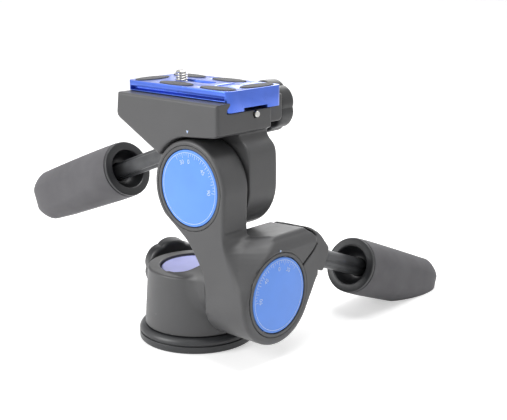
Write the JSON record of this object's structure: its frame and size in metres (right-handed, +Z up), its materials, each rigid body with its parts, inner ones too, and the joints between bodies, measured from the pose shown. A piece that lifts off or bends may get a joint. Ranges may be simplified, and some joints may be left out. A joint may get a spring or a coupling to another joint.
{
  "type": "three way pan tilt head",
  "caption": "Camera head that pans, tilts and rolls, with a lockable handle for each tilting axis, angle dials and a dovetail plate clamp on top.",
  "frame": {"origin": "middle of the tripod socket, in the plane of the base's underside", "axes": "+Z up along the pan axis, +X along the tilt axis towards its dial, +Y back along the roll axis, away from the roll dial"},
  "size_m": [0.1919, 0.1835, 0.1461],
  "materials": {
    "cast_black": "fine satin powder coat on die-cast aluminium",
    "rod_black": "satin anodised black",
    "blue_anodised": "satin blue anodised",
    "dial_blue": "printed satin blue",
    "rubber_black": "matt moulded rubber",
    "plastic_black": "fine textured moulding",
    "steel": "bright plated",
    "brass": "turned",
    "bearing_plastic": "plain turned"
  },
  "bodies": {
    "base_body": {"base_flange": "cast_black", "tripod_insert": "brass", "pan_spindle": "steel", "pan_bearing_washer": "bearing_plastic", "pan_dial": "dial_blue"},
    "turret_body": {"turret_housing": "cast_black", "pan_brake_shoe": "brass", "tilt_shaft": "steel", "tilt_retainer": "steel", "tilt_shaft_bolt": "steel", "tilt_dial": "dial_blue", "tilt_bezel": "plastic_black"},
    "pan_knob_body": {"pan_knob": "plastic_black", "pan_knob_screw": "steel"},
    "arm_body": {"arm_casting": "cast_black", "tilt_sleeve": "bearing_plastic", "roll_shaft": "steel", "roll_shaft_bolt": "steel", "roll_dial": "dial_blue", "roll_bezel": "plastic_black", "roll_retainer": "steel", "roll_retainer_screw": "steel"},
    "tilt_handle_body": {"tilt_handle_rod": "rod_black", "tilt_rod_washer": "steel", "tilt_rod_stop": "steel"},
    "tilt_grip_body": {"tilt_grip": "rubber_black", "tilt_grip_funnel": "plastic_black"},
    "platform_body": {"platform_casting": "cast_black", "roll_end_cap": "plastic_black", "roll_sleeve": "bearing_plastic", "jaw_guide_pin_left": "steel", "jaw_guide_pin_right": "steel", "plate_stop_pin": "steel", "jaw_spring": "steel"},
    "roll_handle_body": {"roll_handle_rod": "rod_black", "roll_rod_washer": "steel", "roll_rod_stop": "steel"},
    "roll_grip_body": {"roll_grip": "rubber_black", "roll_grip_funnel": "plastic_black"},
    "jaw_body": {"rear_jaw": "cast_black"},
    "clamp_knob_body": {"clamp_knob": "plastic_black", "clamp_screw": "steel"},
    "plate_body": {"release_plate": "blue_anodised", "pad_left_end": "rubber_black", "pad_left_front": "rubber_black", "pad_left_back": "rubber_black", "pad_right_end": "rubber_black", "pad_right_front": "rubber_black", "pad_right_back": "rubber_black", "stop_screw_left": "steel", "stop_screw_right": "steel"},
    "screw_slide_body": {"screw_washer": "steel"},
    "camera_screw_body": {"camera_screw": "steel"}
  },
  "joints": [
    {"name": "pan", "type": "hinge", "parent": "base_body", "child": "turret_body", "pos_m": [0, 0, 0.03], "axis": [0, 0, 1], "continuous": true},
    {"name": "pan_knob_turn", "type": "hinge", "parent": "turret_body", "child": "pan_knob_body", "pos_m": [0, 0, 0.0272], "axis": [-0.9272, 0.3746, 0], "range_deg": [0, 180]},
    {"name": "tilt", "type": "hinge", "parent": "turret_body", "child": "arm_body", "pos_m": [0.0275, 0, 0.03363], "axis": [1, 0, 0], "range_deg": [-30, 90]},
    {"name": "tilt_handle_turn", "type": "hinge", "parent": "arm_body", "child": "tilt_handle_body", "pos_m": [0.0415, 0.03439, 0.04404], "axis": [0, 0.9323, -0.3616], "range_deg": [0, 120]},
    {"name": "tilt_grip_slide", "type": "slide", "parent": "tilt_handle_body", "child": "tilt_grip_body", "axis": [0, -0.9323, 0.3616], "range_m": [0, 0.026]},
    {"name": "roll", "type": "hinge", "parent": "arm_body", "child": "platform_body", "pos_m": [0.01775, 0, 0.08406], "axis": [0, 1, 0], "range_deg": [-18, 90]},
    {"name": "roll_handle_turn", "type": "hinge", "parent": "platform_body", "child": "roll_handle_body", "pos_m": [-0.0158, 0.00545, 0.0948], "axis": [-0.9323, 0, -0.3616], "range_deg": [0, 120]},
    {"name": "roll_grip_slide", "type": "slide", "parent": "roll_handle_body", "child": "roll_grip_body", "axis": [0.9323, 0, 0.3616], "range_m": [0, 0.026]},
    {"name": "jaw_slide", "type": "slide", "parent": "platform_body", "child": "jaw_body", "axis": [0, 1, 0], "range_m": [0, 0.003]},
    {"name": "clamp_knob_turn", "type": "hinge", "parent": "jaw_body", "child": "clamp_knob_body", "pos_m": [0.017, 0, 0.1172], "axis": [0, 1, 0], "range_deg": [0, 720]},
    {"name": "plate_slide", "type": "slide", "parent": "platform_body", "child": "plate_body", "axis": [1, 0, 0], "range_m": [-0.0018, 0.003]},
    {"name": "camera_screw_slide", "type": "slide", "parent": "plate_body", "child": "screw_slide_body", "axis": [1, 0, 0], "range_m": [0, 0.0195]},
    {"name": "camera_screw_turn", "type": "hinge", "parent": "screw_slide_body", "child": "camera_screw_body", "pos_m": [-0.0125, 0.0036, 0.1209], "axis": [0, 0, 1], "continuous": true}
  ],
  "couplings": [
    {"joint": "clamp_knob_turn", "follows": "jaw_slide", "rad_per_m": 4188.8}
  ]
}
